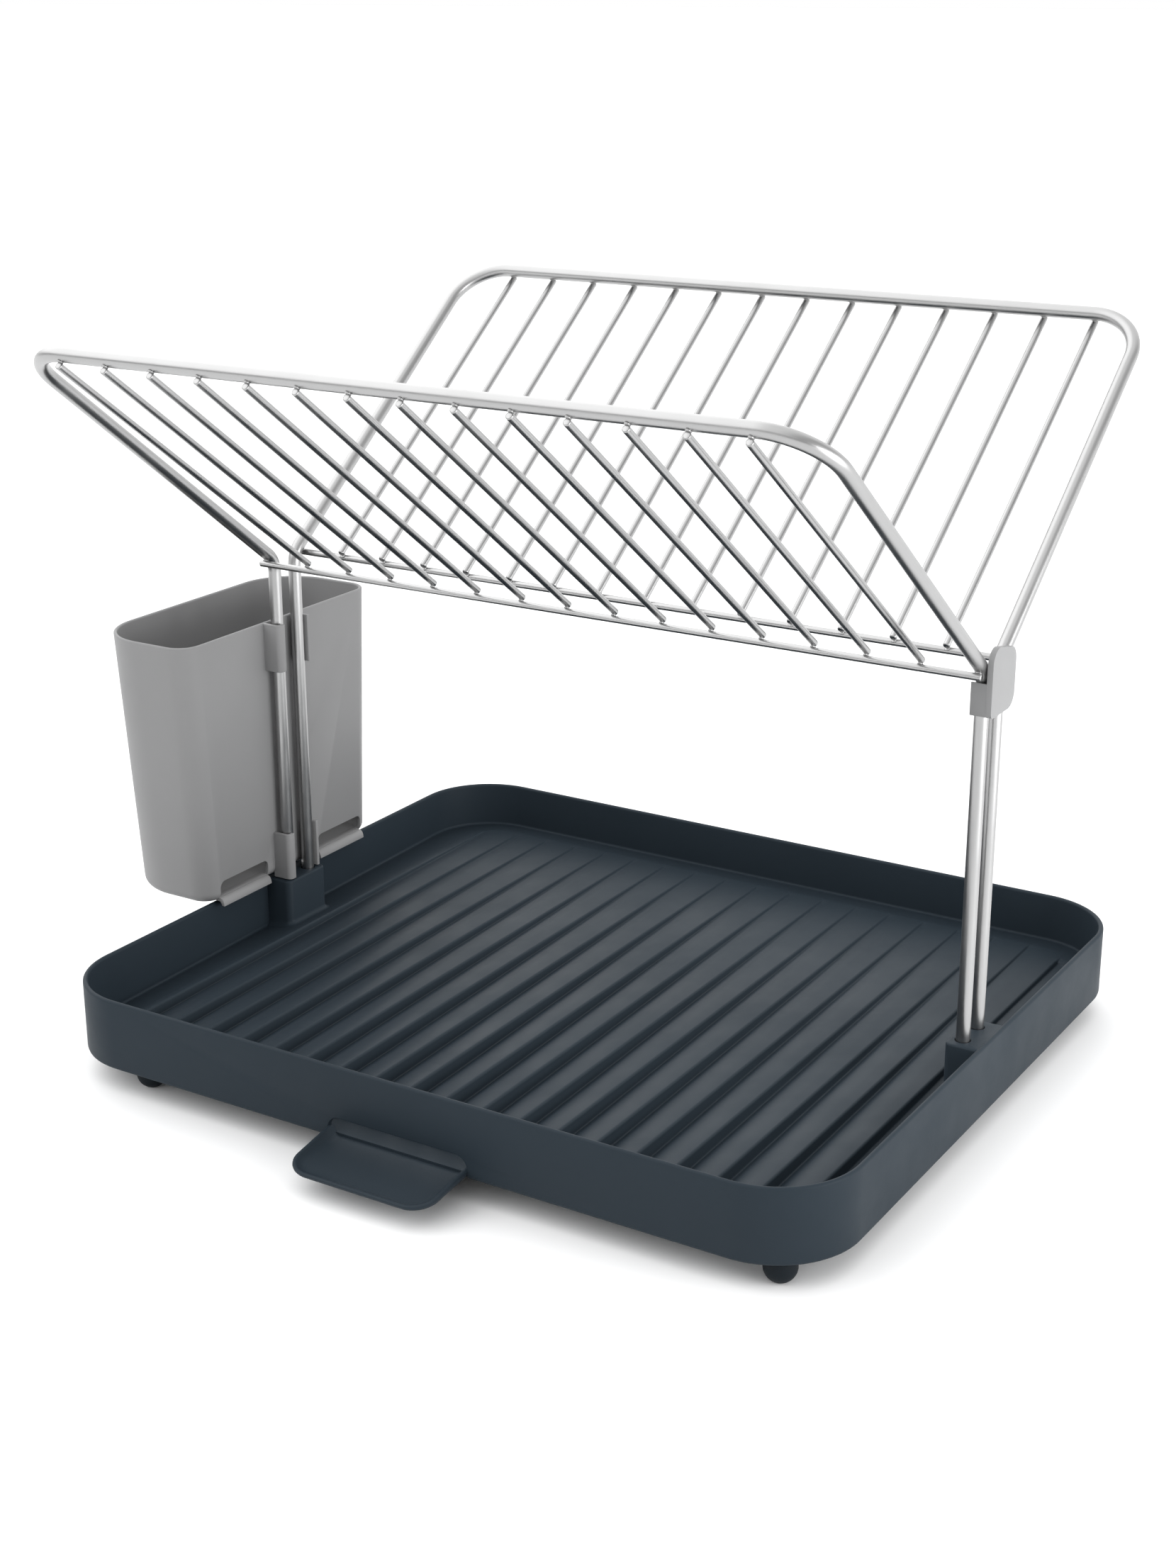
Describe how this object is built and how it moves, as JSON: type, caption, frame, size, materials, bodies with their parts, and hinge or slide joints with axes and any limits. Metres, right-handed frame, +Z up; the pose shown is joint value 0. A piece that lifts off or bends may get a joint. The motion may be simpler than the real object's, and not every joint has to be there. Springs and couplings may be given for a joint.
{
  "type": "dish drying rack",
  "caption": "Folded-rod dish drying rack with two leaning plate wings on a ribbed drip tray with a spout, with a side cutlery holder and an end clip.",
  "frame": {"origin": "under the middle of the whole object's box, on the plane the feet rest on", "axes": "+X along the tray's long side, from the cutlery holder to the clip; -Y the front, where the spout is; +Z up"},
  "size_m": [0.535, 0.4474, 0.4037],
  "materials": {
    "tray_plastic": "satin dark slate-grey moulding",
    "foot_rubber": "matt near-black",
    "frame_steel": "bright polished stainless rod",
    "wire_steel": "bright polished stainless wire",
    "clip_plastic": "satin mid-grey moulding",
    "holder_plastic": "satin mid-grey moulding"
  },
  "bodies": {
    "base": {"tray": "tray_plastic", "foot_front_left": "foot_rubber", "foot_front_right": "foot_rubber", "foot_back_left": "foot_rubber", "foot_back_right": "foot_rubber"},
    "rack": {"front_frame": "frame_steel", "back_frame": "frame_steel", "front_cross_wire": "wire_steel", "back_cross_wire": "wire_steel", "front_wire_01": "wire_steel", "front_wire_02": "wire_steel", "front_wire_03": "wire_steel", "front_wire_04": "wire_steel", "front_wire_05": "wire_steel", "front_wire_06": "wire_steel", "front_wire_07": "wire_steel", "front_wire_08": "wire_steel", "front_wire_09": "wire_steel", "front_wire_10": "wire_steel", "front_wire_11": "wire_steel", "front_wire_12": "wire_steel", "front_wire_13": "wire_steel", "front_wire_14": "wire_steel", "back_wire_01": "wire_steel", "back_wire_02": "wire_steel", "back_wire_03": "wire_steel", "back_wire_04": "wire_steel", "back_wire_05": "wire_steel", "back_wire_06": "wire_steel", "back_wire_07": "wire_steel", "back_wire_08": "wire_steel", "back_wire_09": "wire_steel", "back_wire_10": "wire_steel", "back_wire_11": "wire_steel", "back_wire_12": "wire_steel", "back_wire_13": "wire_steel", "back_wire_14": "wire_steel"},
    "clip": {"clip": "clip_plastic"},
    "cutlery_holder": {"cutlery_holder": "holder_plastic"}
  },
  "joints": [
    {"name": "rack_lift", "type": "slide", "parent": "base", "child": "rack", "axis": [0, 0, 1], "range_m": [0, 0.06]},
    {"name": "clip_pull", "type": "slide", "parent": "rack", "child": "clip", "axis": [1, 0, 0], "range_m": [0, 0.03]},
    {"name": "holder_lift", "type": "slide", "parent": "rack", "child": "cutlery_holder", "axis": [0, 0, 1], "range_m": [0, 0.026]}
  ]
}
